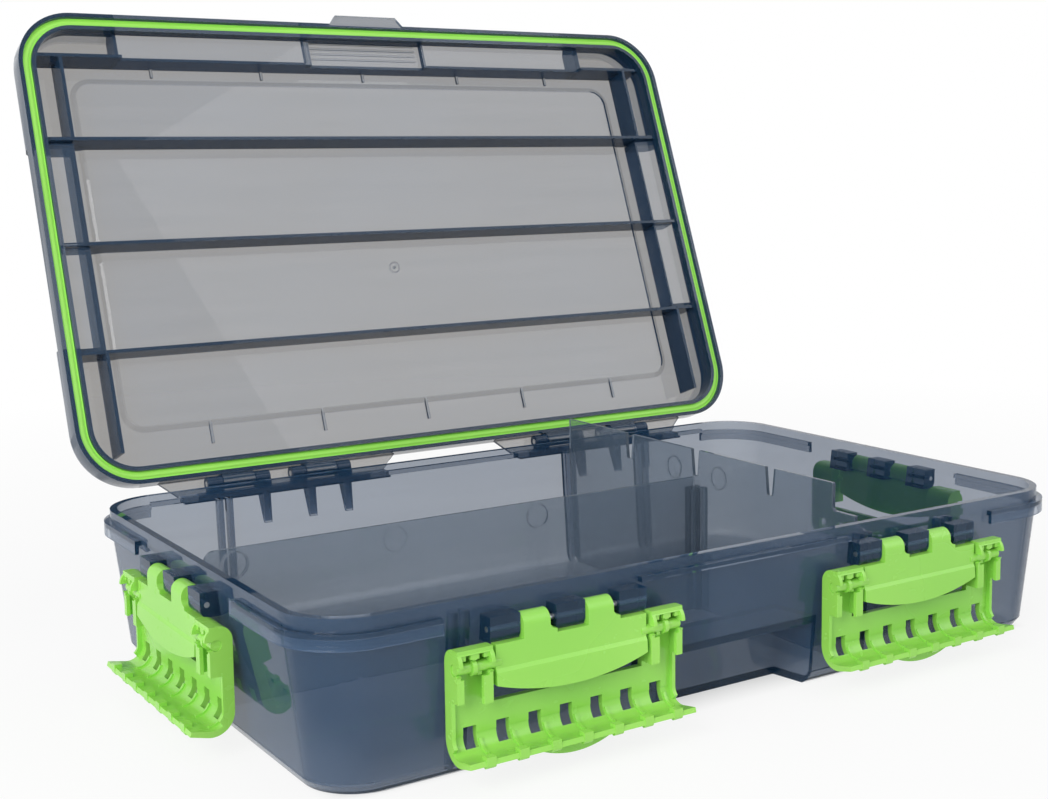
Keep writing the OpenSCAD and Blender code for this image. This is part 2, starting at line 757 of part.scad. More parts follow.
// Cross divider with three rib notches, a stepped front end and a double post for the long divider
module cross_divider() {
    foot_y = half_d - draft_y - wall_t - divider_end_gap;
    top_y = half_d - tongue_t - divider_end_gap;
    step_y = -lid_d / 2 + step_in + 2;
    front_y = -lid_d / 2 + channel_depth() + 2;
    color(smoke_panel) {
        difference() {
            sweep_x(cross_x - divider_t / 2, cross_x + divider_t / 2)
                polygon([[-foot_y + divider_r, divider_foot], [foot_y - divider_r, divider_foot],
                         [foot_y, divider_foot + divider_r], [top_y, wall_top], [cross_back, wall_top + 2],
                         [cross_back, cross_top], [step_y, cross_top], [step_y, cross_low + divider_r / 4],
                         [step_y - divider_r / 4, cross_low], [front_y, cross_low], [front_y, wall_top + 2],
                         [-top_y, wall_top], [-foot_y, divider_foot + divider_r]]);
            for (i = [-1, 0, 1])
                sweep_x(cross_x - divider_t, cross_x + divider_t)
                    polygon([[i * rib_pitch - notch_w / 2, notch_z], [i * rib_pitch + notch_w / 2, notch_z],
                             [i * rib_pitch + notch_top_w / 2, cross_top + 1],
                             [i * rib_pitch - notch_top_w / 2, cross_top + 1]]);
        }
        for (sx = [-1, 1], sy = [-1, 1]) {
            inner = divider_t / 2 + slot_gap;
            translate([cross_x + sx * (divider_t / 2 + post_d) / 2, sy * (inner + post_w / 2) / 2, 0])
                box(-(post_d + divider_t / 2) / 2, (post_d + divider_t / 2) / 2,
                    -(post_w / 2 - inner) / 2, (post_w / 2 - inner) / 2, divider_foot, post_top);
        }
    }
}

// Outline of one lever finger seen from the front, standing on the plate
module finger_outline(u0, u1) {
    root = 4.4;
    top_z = pin_z + finger_r;
    translate([u0, shoulder_z - 1]) square([u1 - u0 - root / 1.6, top_z - shoulder_z + 1]);
    difference() {
        translate([u0, shoulder_z - 1]) square([u1 - u0, root + 1]);
        translate([u1, shoulder_z + root]) circle(root / 1.6 + 0.3);
    }
}

// Lever: plate with two fingers round the pin and two side rods with discs
module lever() {
    half = lever_w / 2;
    bow_r = (half * half + lever_bow * lever_bow) / (2 * lever_bow);
    gap0 = lug_w / 2 + finger_gap;
    gap1 = lug_pitch - lug_w / 2 - finger_gap;
    color(lime) {
        intersection() {
            latch_span(-half, half)
                polygon([[plate_in, shoulder_z], [plate_out, shoulder_z], [plate_out, ridge_z + crease_h],
                         [plate_out + crease_out, ridge_z],
                         [plate_out + lever_flare, lever_side_z - lever_bow],
                         [plate_in + lever_flare, lever_side_z - lever_bow], [plate_in, ridge_z]]);
            translate([0, 0, lever_side_z - lever_bow + bow_r]) rotate([90, 0, 0])
                cylinder(h = far, r = bow_r, center = true, $fn = 160);
        }
        difference() {
            intersection() {
                union() {
                    latch_span(-half, half) translate([plate_in, shoulder_z - 1])
                        square([lever_t, pin_z - shoulder_z + 1]);
                    latch_rod(-half, half, pin_out, pin_z, finger_r);
                }
                translate([0, 1, 0]) rotate([90, 0, 0]) linear_extrude(far) {
                    finger_outline(-gap1, -gap0);
                    finger_outline(gap0, gap1);
                }
            }
            latch_rod(-half, half, pin_out, pin_z, lever_pin_r + pin_clear);
        }
        for (side = [-1, 1]) {
            end = hook_w / 2 - rod_end_gap;
            u0 = side > 0 ? half - 2 : -end;
            u1 = side > 0 ? end : 2 - half;
            latch_rod(u0, u1, pivot_out, pivot_z, rod_r);
            latch_rod(side * disc_at - disc_t / 2, side * disc_at + disc_t / 2, pivot_out, pivot_z, disc_r);
            translate([side * (disc_at - key_in) - key_w / 2, -pivot_out - key_w / 2, pivot_z - disc_r])
                cube([key_w, key_w, disc_r]);
        }
    }
}

// Ring sector of the curl, drawn as (out, z), from the plate round to a sweep angle
module curl_sector(r_in, r_out, a0, a1) {
    reach = 2 * r_out;
    translate([curl_out, curl_z]) intersection() {
        difference() {
            circle(r_out);
            circle(r_in);
        }
        polygon(concat([[0, 0]], [for (k = [0 : 6]) let (a = 180 + a0 + (a1 - a0) * k / 6)
                                  [reach * cos(a), reach * sin(a)]]));
    }
}

// Side view of an arm, drawn as (out, z), with its round upper back edge
module arm_side(bottom_z) {
    top_z = pivot_z + arm_up;
    difference() {
        translate([hook_back, bottom_z]) square([arm_depth, top_z - bottom_z]);
        translate([hook_back - 1, top_z - arm_round]) square([arm_round + 1, arm_round + 1]);
    }
    translate([hook_back + arm_round, top_z - arm_round]) circle(arm_round);
}

// One arm on the right of the hook: walls round a pocket for the lever's rod and disc
module hook_arm() {
    u1 = hook_w / 2;
    top_z = pivot_z + arm_up;
    low_z = pivot_z - arm_down;
    band_z = top_z - arm_band_h;
    face = arm_front - arm_t;
    stop_z = pivot_z + disc_r + 2 * pin_clear;
    difference() {
        union() {
            latch_span(u1 - arm_t, u1) arm_side(low_z);
            latch_span(arm_in, arm_in + arm_t) arm_side(low_z - arm_step);
            intersection() {
                latch_span(arm_in, u1) arm_side(low_z);
                latch_span(arm_in, u1) {
                    translate([hook_back, low_z]) square([hook_t, far]);
                    translate([0, top_z - arm_cap_t]) square([far, far]);
                    translate([face, band_z]) square([arm_t, far]);
                }
            }
            latch_span(disc_at - disc_t / 2, disc_at + disc_t / 2)
                translate([face, stop_z]) square([arm_t, band_z + 1 - stop_z]);
            latch_span(u1 - arm_bar_outer, u1)
                translate([face, low_z]) square([arm_t, arm_bar_z - low_z]);
            latch_span(arm_in, arm_in + arm_bar_inner)
                translate([face, low_z - arm_step]) square([arm_t, arm_bar_z - low_z + arm_step]);
        }
        latch_rod(arm_in - 1, u1 + 1, pivot_out, pivot_z, rod_r + pin_clear);
        latch_span(arm_in - 1, u1 + 1)
            translate([pivot_out, pivot_z - snap_h / 2]) square([far, snap_h]);
        for (window = [disc_at - disc_t - arm_window_w, disc_at + disc_t])
            latch_span(window, window + arm_window_w)
                translate([face - 1, band_z - eps]) square([arm_t + 2, arm_cap_t]);
    }
}

// The lip beyond the curl, drawn as (out, z), from the curl's end to its tip
module lip_section() {
    a = 180 + curl_sweep;
    along = [-sin(a), cos(a)];
    across = [-along[1], along[0]];
    start = [curl_out + curl_r * cos(a), curl_z + curl_r * sin(a)];
    reach = (hook_back + lip_reach - start[0]) / along[0];
    tip = start + reach * along;
    root = start - lip_root * along;
    polygon([root + 0.04 * across, start, tip, tip + lip_tip_t * across,
             start + (curl_r - curl_in) * across, root + (curl_r - curl_in - 0.1) * across]);
}

// Teeth on the lip's tip: a block above it and a round bead below it
module lip_tooth() {
    a = 180 + curl_sweep;
    tip_out = hook_back + lip_reach;
    tip_z = curl_z + curl_r * sin(a) - (tip_out - curl_out - curl_r * cos(a)) / tan(a);
    translate([tip_out - tooth_d, tip_z]) square([tooth_d, lip_tip_t + tooth_h]);
    translate([tip_out - bead_r, tip_z]) circle(bead_r);
}

// Hook frame: arms, plate, curl with slots and teeth, and the finger tab
module hook() {
    half = hook_w / 2;
    tab_r = (tab_w * tab_w / 4 + tab_h * tab_h) / (2 * tab_h);
    tab_z = curl_z - curl_r - tab_h + 0.6;
    end_z = pivot_z - arm_down + 1;
    color(lime) {
        difference() {
            union() {
                latch_span(-half, half) {
                    translate([hook_back, curl_z]) square([hook_t, pivot_z - window_drop - curl_z]);
                    curl_sector(curl_in, curl_r, 0, curl_sweep);
                    lip_section();
                }
                for (side = [-1, 1])
                    latch_span(side > 0 ? arm_in : -half, side > 0 ? half : -arm_in)
                        translate([hook_back, curl_z]) square([hook_t, end_z - curl_z]);
                for (side = [-1, 1])
                    latch_span(side > 0 ? half - arm_t : -half, side > 0 ? half : arm_t - half) {
                        translate([hook_back, curl_z]) square([rim_t, end_z - curl_z]);
                        curl_sector(curl_r - rim_t, curl_r, 0, curl_sweep / 2);
                    }
            }
            for (i = [0 : slot_count - 1]) {
                u = (i - (slot_count - 1) / 2) * slot_pitch;
                latch_span(u - slot_w / 2, u + slot_w / 2) {
                    translate([hook_back - 1, curl_z - eps]) square([hook_t + 2, slot_rise]);
                    curl_sector(curl_in - 1, curl_r + 1, 0, slot_sweep);
                }
            }
        }
        for (i = [0 : slot_count - 1]) {
            u = (i - (slot_count - 1) / 2) * slot_pitch;
            latch_span(u - tooth_w / 2, u + tooth_w / 2) lip_tooth();
            latch_span(u + slot_w / 2 + ridge_gap, u + slot_w / 2 + ridge_gap + ridge_w)
                curl_sector(curl_in - ridge_h, curl_in + hook_t / 4, ridge_from, curl_sweep - ridge_end);
        }
        intersection() {
            latch_span(-half, half)
                translate([curl_out - tab_t / 2, tab_z]) square([tab_t, tab_h + 1]);
            translate([0, 0, tab_z + tab_r]) rotate([90, 0, 0])
                cylinder(h = far, r = tab_r, center = true, $fn = 120);
        }
        hook_arm();
        mirror([1, 0, 0]) hook_arm();
    }
}

// Steel pin of one lever, through its three lugs
module lever_pin() {
    reach = lug_pitch + lug_w / 2;
    color(steel) latch_rod(-reach, reach, pin_out, pin_z, lever_pin_r);
}

base();
lid();
lid_gasket();
hinge_pin(-1, 0);  // hinge_pin_left_outer
hinge_pin(-1, 1);  // hinge_pin_left_inner
hinge_pin(1, 0);  // hinge_pin_right_inner
hinge_pin(1, 1);  // hinge_pin_right_outer
long_divider();
cross_divider();
at_front_left() lever();  // front_left_lever
at_front_left() hook();  // front_left_hook
at_front_left() lever_pin();  // front_left_pin
at_front_right() lever();  // front_right_lever
at_front_right() hook();  // front_right_hook
at_front_right() lever_pin();  // front_right_pin
at_left_side() lever();  // left_side_lever
at_left_side() hook();  // left_side_hook
at_left_side() lever_pin();  // left_side_pin
at_right_side() lever();  // right_side_lever
at_right_side() hook();  // right_side_hook
at_right_side() lever_pin();  // right_side_pin
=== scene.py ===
"""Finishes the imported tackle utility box: clear smoke plastic, lime latches, a rounded seal ring, small
moulding marks, and a plain white stage with the camera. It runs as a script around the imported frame."""

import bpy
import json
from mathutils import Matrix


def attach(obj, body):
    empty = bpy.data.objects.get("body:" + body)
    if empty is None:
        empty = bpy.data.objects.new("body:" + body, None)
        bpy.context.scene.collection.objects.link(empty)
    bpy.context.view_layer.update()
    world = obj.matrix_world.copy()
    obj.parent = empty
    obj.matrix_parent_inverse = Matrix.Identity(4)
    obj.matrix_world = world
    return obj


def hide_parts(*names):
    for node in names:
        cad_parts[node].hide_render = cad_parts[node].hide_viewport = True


bl_info = {
    "name": "Tackle utility box",
    "version": (1, 0, 0),
    "blender": (4, 5, 0),
    "location": "3D View > Sidebar > Tackle box",
    "description": "Finishes, seal ring and stage of a tackle utility box",
    "category": "Object",
}

import json
import math

import bmesh
import bpy
from bpy.props import FloatProperty, FloatVectorProperty, IntProperty, PointerProperty
from bpy.types import Operator, Panel, PropertyGroup
from mathutils import Matrix, Vector

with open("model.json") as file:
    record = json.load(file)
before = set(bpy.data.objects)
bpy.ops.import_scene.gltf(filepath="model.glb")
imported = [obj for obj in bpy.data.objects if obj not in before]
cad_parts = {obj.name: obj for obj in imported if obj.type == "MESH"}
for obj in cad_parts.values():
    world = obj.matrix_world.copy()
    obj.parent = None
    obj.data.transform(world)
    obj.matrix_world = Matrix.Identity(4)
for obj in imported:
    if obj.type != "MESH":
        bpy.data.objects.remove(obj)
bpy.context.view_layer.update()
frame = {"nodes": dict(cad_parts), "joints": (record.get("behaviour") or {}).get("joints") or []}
NODES = frame["nodes"]
LATCHES = ("front_left", "front_right", "left_side", "right_side")
HINGE_PINS = ("left_outer", "left_inner", "right_inner", "right_outer")
LID_HINGE = next(j for j in frame["joints"] if j["name"] == "lid_hinge")
MM = 0.001
WHITE = (1, 1, 1)
NODE_SPACING = (220, 180)

# Clear plastic
CLEAR_IOR = 1.34  # under the real plastic's 1.5, so that its faces mirror less of the white surroundings
FLOW_TONE = 0.965  # share of the colour that stays in a flow line
HAZE_TONE = 0.82  # share of the haze's colour that stays in its duller spots
DIVIDER_ROUGHER = 3
# Faces that stand on the lid's plate get painted shade; these bound which faces count as standing and lying
STANDING, LYING = 0.55, 0.98  # cosine between a face's normal and the plate's, at most and at least

# Painted shade on thick parts of the tray, right of its middle and mirrored left: middle and half size in
# millimetres
FRONT_LUGS = ((82.5, -112.5, 50.5), (32, 4, 7))
SIDE_LUGS = ((179.5, 0, 50.5), (4, 32, 7))
REAR_HINGES = ((86, 114.2, 54), (42, 5.6, 11))

# Marks of the mould: shade and radius of the gate's two rings and of an ejector's ring
GATE_PLACE = (-0.0029, 0.0147, 0.0753)  # in the closed lid
GATE_RINGS = ((0.5, 2.6 * MM), (0.9, 0.5 * MM))
EJECTOR_RING = (0.3, 5 * MM)
MARK_HEIGHT = 0.1 * MM

# Depth of the fine skin on each finish
CLEAR_SKIN = 0.004 * MM
LIME_SKIN = 0.04 * MM
SEAL_SKIN = 0.03 * MM
STEEL_SKIN = 0.01 * MM

# Softened meshes
WELD = 0.001 * MM
SMOOTH_UNDER = math.radians(23)
ROUNDED_FROM = math.radians(40)

# Seal ring
CROWN_ANGLES = (90, 70, 50, 30, 12)
CROWN_ARC = 0.97  # share of the crown's depth that its arcs take
CROWN_FLAT = 0.35  # flat strip's share of the ring's width
SAME_PLACE = 0.1 * MM

# Stage
FLOOR_REACH, FLOOR_DROP = 9.0, 0.2 * MM
FLOOR_FADE = (0.26, 0.8)  # distances over which the floor fades to white
UNDER_BOX, UNDER_FADE = (0.166, 0.101, 1), -0.03  # half size of the floor's darker part and its soft border
LAMP_AIM = (0, 0, 0.08)
KEY_PLACE, KEY_SIZE = (-1.25, -0.7, 0.75), 0.9
FILL_PLACE, FILL_SIZE = (1.0, -0.9, 0.9), 1.1
SENSOR_MM, SEES_FROM = 36, 0.01  # the camera's sensor, and the distance from which it sees


# Properties


class SmokeFinish(PropertyGroup):
    """Clear smoke plastic of the tray, the lid and the dividers."""

    surface: FloatVectorProperty(
        name="Surface", description="Colour of light that crosses a face", subtype="COLOR",
        size=3, min=0, max=1, default=(0.97, 0.97, 0.97))
    passing: FloatVectorProperty(
        name="Passing light", description="Share of the lamps' light that passes each face", subtype="COLOR",
        size=3, min=0, max=1, default=(0.86, 0.86, 0.86))
    depth_colour: FloatVectorProperty(
        name="Depth colour", description="Colour that thick plastic takes", subtype="COLOR",
        size=3, min=0, max=1, default=(0.392, 0.43, 0.49))
    density: FloatProperty(
        name="Density", description="How strongly the plastic takes light, per metre", min=0, default=440)
    lid_surface: FloatVectorProperty(
        name="Lid surface", description="Colour of light that crosses a face of the lid", subtype="COLOR",
        size=3, min=0, max=1, default=(0.745, 0.69, 0.61))
    # Painted shade on the faces that stand on the lid's plate, and the colour that the mould's marks take
    rib_shade_and_mark_colour: FloatVectorProperty(
        name="Rib colour", description="Colour of light that crosses a rib's face or a mark", subtype="COLOR",
        size=3, min=0, max=1, default=(0.02, 0.03, 0.05))
    # Painted shade on the tray's thick lugs
    lug_painted_shade: FloatVectorProperty(
        name="Thick colour", description="Colour of light that crosses a lug's face", subtype="COLOR",
        size=3, min=0, max=1, default=(0.36, 0.45, 0.48))
    # Painted shade on the tray's rear hinges
    hinge_painted_shade: FloatVectorProperty(
        name="Hinge colour", description="Colour of light that crosses a hinge's face", subtype="COLOR",
        size=3, min=0, max=1, default=(0.09, 0.12, 0.18))
    haze: FloatProperty(
        name="Haze", description="Share of the face that scatters light", subtype="FACTOR",
        min=0, max=1, default=0.10)
    haze_colour: FloatVectorProperty(
        name="Haze colour", description="Colour of the scattered light", subtype="COLOR",
        size=3, min=0, max=1, default=(0.10, 0.30, 0.62))
    divider_haze: FloatProperty(
        name="Divider haze", description="Share of a divider's face that scatters light", subtype="FACTOR",
        min=0, max=1, default=0.19)
    divider_haze_colour: FloatVectorProperty(
        name="Divider haze colour", description="Colour of a divider's scattered light", subtype="COLOR",
        size=3, min=0, max=1, default=(0.26, 0.36, 0.48))
    divider_density: FloatProperty(
        name="Divider density", description="How strongly a divider takes light, per metre",
        min=0, default=440)
    gloss: FloatProperty(
        name="Roughness", description="Roughness of the polished faces", subtype="FACTOR",
        min=0, max=1, default=0.012)
    edge: FloatProperty(
        name="Edge radius", description="Width of the softened edges", subtype="DISTANCE", unit="LENGTH",
        min=0, default=0.0003)


class LimeFinish(PropertyGroup):
    """Satin lime plastic of the levers and hooks."""

    colour: FloatVectorProperty(
        name="Colour", description="Main colour", subtype="COLOR",
        size=3, min=0, max=1, default=(0.33, 0.705, 0.11))
    deep: FloatVectorProperty(
        name="Deep colour", description="Colour of the thicker spots", subtype="COLOR",
        size=3, min=0, max=1, default=(0.27, 0.64, 0.085))
    gloss: FloatProperty(
        name="Roughness", description="Roughness of the satin face", subtype="FACTOR",
        min=0, max=1, default=0.25)
    edge: FloatProperty(
        name="Edge radius", description="Width of the softened edges", subtype="DISTANCE", unit="LENGTH",
        min=0, default=0.00022)


class SealFinish(PropertyGroup):
    """Seal ring in the lid's channel."""

    colour: FloatVectorProperty(
        name="Colour", description="Main colour", subtype="COLOR",
        size=3, min=0, max=1, default=(0.36, 0.83, 0.12))
    deep: FloatVectorProperty(
        name="Deep colour", description="Colour of the duller spots", subtype="COLOR",
        size=3, min=0, max=1, default=(0.30, 0.74, 0.09))
    gloss: FloatProperty(
        name="Roughness", description="Roughness of the rubber", subtype="FACTOR",
        min=0, max=1, default=0.38)
    corner_r: FloatProperty(
        name="Corner radius", description="Outside corner radius of the ring", subtype="DISTANCE",
        unit="LENGTH", min=0, default=0.02445)
    crown: FloatProperty(
        name="Crown", description="Depth of the rounded face", subtype="DISTANCE", unit="LENGTH",
        min=0, default=0.0009)
    crown_in: FloatProperty(
        name="Crown inset", description="How far the rounded face is narrower on each side",
        subtype="DISTANCE", unit="LENGTH", min=0, default=0.0005)
    corner_steps: IntProperty(
        name="Corner steps", description="Steps round one corner", min=4, default=24)


class SteelFinish(PropertyGroup):
    """Hinge and lever pins."""

    colour: FloatVectorProperty(
        name="Colour", description="Colour of the metal", subtype="COLOR",
        size=3, min=0, max=1, default=(0.62, 0.63, 0.65))
    gloss: FloatProperty(
        name="Roughness", description="Roughness of the drawn wire", subtype="FACTOR",
        min=0, max=1, default=0.28)


class StudioLook(PropertyGroup):
    """Camera, lamps, floor and background."""

    camera_place: FloatVectorProperty(
        name="Camera", description="Place of the camera", subtype="XYZ", unit="LENGTH",
        size=3, default=(-0.36269, -0.53420, 0.20438))
    camera_yaw: FloatProperty(
        name="Yaw", description="Camera's turn from straight back toward the right", subtype="ANGLE",
        default=math.radians(33.39))
    camera_pitch: FloatProperty(
        name="Pitch", description="Camera's tilt below the horizon", subtype="ANGLE",
        default=math.radians(6.886))
    camera_roll: FloatProperty(
        name="Roll", description="Camera's roll", subtype="ANGLE", default=-0.010485)
    lens: FloatProperty(
        name="Lens", description="Focal length in millimetres on a 36 mm sensor", min=1, default=53.13)
    shift_x: FloatProperty(name="Shift X", description="Sideways shift of the frame", default=-0.03398)
    shift_y: FloatProperty(name="Shift Y", description="Upward shift of the frame", default=-0.05358)
    sky: FloatProperty(
        name="Sky", description="Strength of the even light from all round", min=0, default=0.54)
    key: FloatProperty(
        name="Key lamp", description="Power of the large lamp above the left front, in watts",
        min=0, default=17.5)
    fill: FloatProperty(
        name="Fill lamp", description="Power of the large lamp on the right, in watts", min=0, default=5)
    floor_colour: FloatVectorProperty(
        name="Floor", description="Colour of the floor", subtype="COLOR",
        size=3, min=0, max=1, default=(0.88, 0.88, 0.88))
    floor_white: FloatProperty(
        name="Floor white", description="Share of plain white that the camera sees on the floor",
        subtype="FACTOR", min=0, max=1, default=0.86)
    under_white: FloatProperty(
        name="Under the box", description="How much of that white stays under the box, where it is darkest",
        subtype="FACTOR", min=0, max=1, default=0.3)


# Node helpers


def put(tree, kind, at, **settings):
    """A new node at a grid place, with its settings."""
    node = tree.nodes.new(kind)
    node.location = (at[0] * NODE_SPACING[0], -at[1] * NODE_SPACING[1])
    for name, value in settings.items():
        setattr(node, name, value)
    return node


def feed(tree, node, values):
    """Fills a node's inputs by name or number, each with a constant or from another node's output."""
    for label, value in values.items():
        socket = node.inputs[label]
        if isinstance(value, bpy.types.NodeSocket):
            tree.links.new(value, socket)
        else:
            socket.default_value = (*value, 1) if socket.type == "RGBA" else value


def new_group(name, inputs, outputs):
    """A shader group that gives values; returns it, the sockets of what it is given, and its output node."""
    kinds = {"value": "NodeSocketFloat", "vector": "NodeSocketVector"}
    tree = bpy.data.node_groups.new(name, "ShaderNodeTree")
    for label, kind, default in inputs:
        socket = tree.interface.new_socket(name=label, in_out="INPUT", socket_type=kinds[kind])
        if default is not None:
            socket.default_value = default
    for label in outputs:
        tree.interface.new_socket(name=label, in_out="OUTPUT", socket_type=kinds["value"])
    return tree, put(tree, "NodeGroupInput", (-4, 0)).outputs, put(tree, "NodeGroupOutput", (5, 0))


def noise(tree, at, vector, scale, detail=2.0, rough=0.5):
    """A noise texture; returns its factor."""
    node = put(tree, "ShaderNodeTexNoise", at)
    feed(tree, node, {"Vector": vector, "Scale": scale, "Detail": detail, "Roughness": rough})
    return node.outputs["Fac"]


def remap(tree, at, value, low, high, out_low=0.0, out_high=1.0):
    """A clamped map from low..high to out_low..out_high."""
    node = put(tree, "ShaderNodeMapRange", at)
    feed(tree, node, {"Value": value, "From Min": low, "From Max": high,
                      "To Min": out_low, "To Max": out_high})
    return node.outputs["Result"]


def maths(tree, at, operation, first, second=0.0):
    """One step of arithmetic on one or two values."""
    node = put(tree, "ShaderNodeMath", at, operation=operation)
    feed(tree, node, {0: first, 1: second})
    return node.outputs[0]


def vectors(tree, at, operation, *values):
    """One step of vector arithmetic; gives a vector, or a value where the operation measures."""
    node = put(tree, "ShaderNodeVectorMath", at, operation=operation)
    feed(tree, node, dict(enumerate(values)))
    return node.outputs["Value" if operation in ("DOT_PRODUCT", "LENGTH") else "Vector"]


def blend(tree, at, factor, first, second):
    """A mix of two colours by a factor."""
    node = put(tree, "ShaderNodeMix", at, data_type="RGBA")
    feed(tree, node, {"Factor": factor, "A": first, "B": second})
    return node.outputs["Result"]


def mixed_shader(tree, at, factor, first, second):
    """A mix of the shaders of two nodes by a factor; returns its node."""
    node = put(tree, "ShaderNodeMixShader", at)
    feed(tree, node, {"Fac": factor, 1: first.outputs[0], 2: second.outputs[0]})
    return node


def bump(tree, at, height, distance, strength=1.0, normal=None):
    """A bump, on top of another one where that one's normal is given; returns its normal."""
    node = put(tree, "ShaderNodeBump", at)
    feed(tree, node, {"Height": height, "Distance": distance, "Strength": strength})
    if normal is not None:
        feed(tree, node, {"Normal": normal})
    return node.outputs["Normal"]


# Effects that more than one material uses


def moulded_group():
    """Fine skin, slow waviness and tone of a moulded face."""
    tree, given, out = new_group(
        "Moulded face",
        [("Vector", "vector", None), ("Grain", "value", 2400.0), ("Gloss", "value", 0.3),
         ("Spread", "value", 0.08)],
        ["Height", "Roughness", "Tone"])
    skin_share, waves, spots = 0.35, 55.0, 14.0
    fine = noise(tree, (-2, 0), given["Vector"], given["Grain"], 3.0, 0.6)
    wavy = noise(tree, (-2, 1), given["Vector"], waves, 1.5)
    slow = noise(tree, (-2, 2), given["Vector"], spots)
    skin = maths(tree, (-1, 0), "MULTIPLY", fine, skin_share)
    low = maths(tree, (0, 1), "SUBTRACT", given["Gloss"], given["Spread"])
    high = maths(tree, (0, 2), "ADD", given["Gloss"], given["Spread"])
    feed(tree, out, {"Height": maths(tree, (0, 0), "ADD", skin, wavy),
                     "Roughness": remap(tree, (2, 1), slow, 0.35, 0.65, low, high),
                     "Tone": remap(tree, (2, 3), slow, 0.3, 0.7)})
    return tree


def flow_group():
    """Flow lines that the melt leaves, drawn out along X."""
    tree, given, out = new_group(
        "Flow lines", [("Vector", "vector", None), ("Pitch", "value", 160.0)], ["Lines"])
    squeeze = (0.06, 0.35, 1.0)
    drawn = vectors(tree, (-3, 0), "MULTIPLY", given["Vector"], squeeze)
    lines = noise(tree, (-2, 0), drawn, given["Pitch"], 3.0, 0.55)
    feed(tree, out, {"Lines": remap(tree, (0, 0), lines, 0.36, 0.66)})
    return tree


def scuff_group():
    """Thin hairline scuffs from handling, as a mask."""
    tree, given, out = new_group(
        "Hairline scuffs", [("Vector", "vector", None), ("Amount", "value", 0.5)], ["Mask"])
    tilt, squeeze = (0.3, 0.2, 1.0), (0.05, 1.0, 1.0)
    masks = []
    for row, (turn, pitch, patches) in enumerate(((0.5, 420.0, 38.0), (-0.9, 360.0, 47.0))):
        spun = put(tree, "ShaderNodeVectorRotate", (-3, row * 2), rotation_type="AXIS_ANGLE")
        feed(tree, spun, {"Vector": given["Vector"], "Axis": tilt, "Angle": turn})
        drawn = vectors(tree, (-2, row * 2), "MULTIPLY", spun.outputs[0], squeeze)
        thin = noise(tree, (-1, row * 2), drawn, pitch, 1.0)
        patch = noise(tree, (-1, row * 2 + 1), given["Vector"], patches, 1.0)
        line = remap(tree, (0, row * 2), thin, 0.66, 0.70)
        area = remap(tree, (0, row * 2 + 1), patch, 0.52, 0.62)
        masks.append(maths(tree, (1, row * 2), "MULTIPLY", line, area))
    both = maths(tree, (2, 0), "MAXIMUM", *masks)
    feed(tree, out, {"Mask": maths(tree, (3, 0), "MULTIPLY", both, given["Amount"])})
    return tree


def standing_group():
    """Mask of the faces that stand on a plate: its ribs, walls and edges, which get painted shade."""
    tree, given, out = new_group(
        "Standing faces", [("Normal", "vector", None), ("Plate", "vector", (0.0, 0.0, 1.0))], ["Mask"])
    along = vectors(tree, (-2, 0), "DOT_PRODUCT", given["Normal"], given["Plate"])
    flatness = maths(tree, (-1, 0), "ABSOLUTE", along)
    feed(tree, out, {"Mask": remap(tree, (1, 0), flatness, STANDING, LYING, 1.0, 0.0)})
    return tree


def ring_group():
    """Round witness marks in a row along a face, as a mask of their thin rims. Last counts them from 0."""
    tree, given, out = new_group(
        "Ring marks",
        [("Vector", "vector", None), ("Along", "vector", (1.0, 0.0, 0.0)), ("Up", "vector", (0.0, 0.0, 1.0)),
         ("Pitch", "value", 0.07), ("First", "value", 0.0), ("Last", "value", 0.0),
         ("Height", "value", 0.05), ("Radius", "value", 0.005), ("Line", "value", 0.0004)],
        ["Mask"])
    across = vectors(tree, (-3, 0), "DOT_PRODUCT", given["Vector"], given["Along"])
    upward = vectors(tree, (-3, 2), "DOT_PRODUCT", given["Vector"], given["Up"])
    from_first = maths(tree, (-2, 0), "SUBTRACT", across, given["First"])
    turns = maths(tree, (-1, 0), "DIVIDE", from_first, given["Pitch"])
    whole = maths(tree, (0, -1), "MAXIMUM", maths(tree, (0, 0), "ROUND", turns), 0.0)
    nearest = maths(tree, (0, -2), "MINIMUM", whole, given["Last"])
    side = maths(tree, (1, 0), "MULTIPLY", maths(tree, (0, 1), "SUBTRACT", turns, nearest), given["Pitch"])
    rise = maths(tree, (-1, 2), "SUBTRACT", upward, given["Height"])
    square = maths(tree, (2, 0), "ADD", maths(tree, (1, 1), "MULTIPLY", side, side),
                   maths(tree, (1, 2), "MULTIPLY", rise, rise))
    away = maths(tree, (3, 0), "SUBTRACT", maths(tree, (2, 1), "SQRT", square), given["Radius"])
    rim = maths(tree, (4, 0), "ABSOLUTE", away)
    feed(tree, out, {"Mask": remap(tree, (4, 2), rim, 0.0, given["Line"], 1.0, 0.0)})
    return tree


